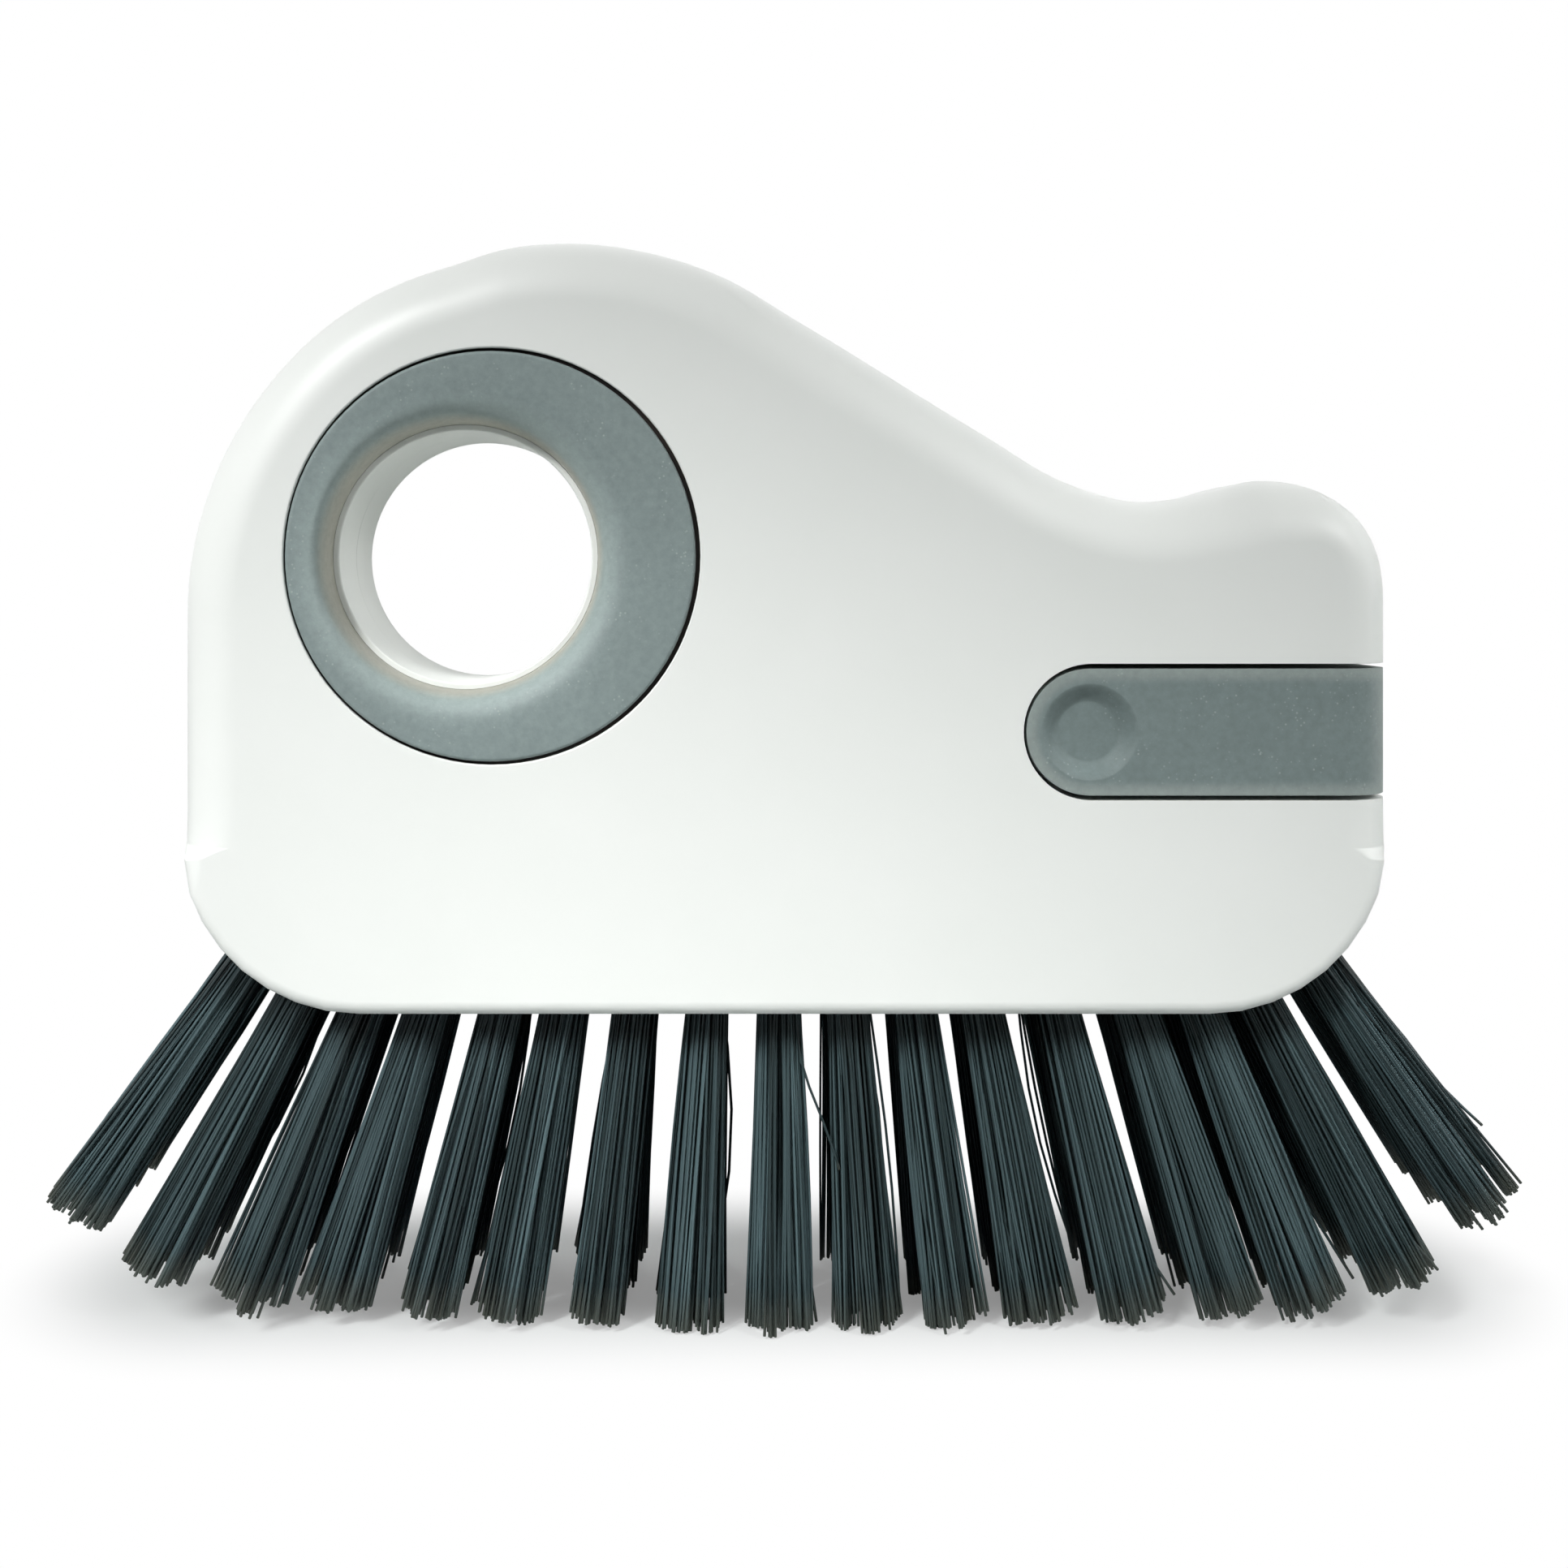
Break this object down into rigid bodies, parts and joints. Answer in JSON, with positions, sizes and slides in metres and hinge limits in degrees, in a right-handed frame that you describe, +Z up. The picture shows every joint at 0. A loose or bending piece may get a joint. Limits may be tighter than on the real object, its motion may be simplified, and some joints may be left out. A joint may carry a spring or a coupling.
{
  "type": "groove cleaning brush",
  "caption": "Hand brush for grooves and gaps: a white two-half body with a finger hole, dark bristles that fan out below, and a grey slide-out handle with a narrow brush.",
  "frame": {"origin": "middle of the bounding box at its bottom, on the surface that the trimmed bristle tips stand on", "axes": "+X along the brush towards the pull-out handle, +Y from the front face to the rear face, +Z up"},
  "size_m": [0.1502, 0.026, 0.1106],
  "materials": {
    "white_shell": "satin moulded polypropylene, off-white",
    "grey_soft_grip": "matt soft-touch elastomer, grey with a green cast",
    "block": "satin moulded polypropylene, off-white",
    "stem": "satin moulded polypropylene, off-white",
    "bristles": "satin nylon filament, dark blue-grey",
    "crevice_bristles": "satin nylon filament, dark blue-grey"
  },
  "bodies": {
    "body": {"front_shell": "white_shell", "rear_shell": "white_shell", "front_grip_ring": "grey_soft_grip", "rear_grip_ring": "grey_soft_grip", "brush_block": "block", "tuft_column_01": "bristles", "tuft_column_02": "bristles", "tuft_column_03": "bristles", "tuft_column_04": "bristles", "tuft_column_05": "bristles", "tuft_column_06": "bristles", "tuft_column_07": "bristles", "tuft_column_08": "bristles", "tuft_column_09": "bristles", "tuft_column_10": "bristles", "tuft_column_11": "bristles", "tuft_column_12": "bristles", "tuft_column_13": "bristles", "tuft_column_14": "bristles", "tuft_column_15": "bristles", "tuft_column_16": "bristles", "tuft_column_17": "bristles"},
    "pull_out_brush": {"pull_handle_front": "grey_soft_grip", "pull_handle_rear": "grey_soft_grip", "crevice_stem": "stem", "crevice_tuft": "crevice_bristles"}
  },
  "joints": [
    {"name": "pull_out_slide", "type": "slide", "parent": "body", "child": "pull_out_brush", "axis": [1, 0, 0], "range_m": [0, 0.03]}
  ]
}
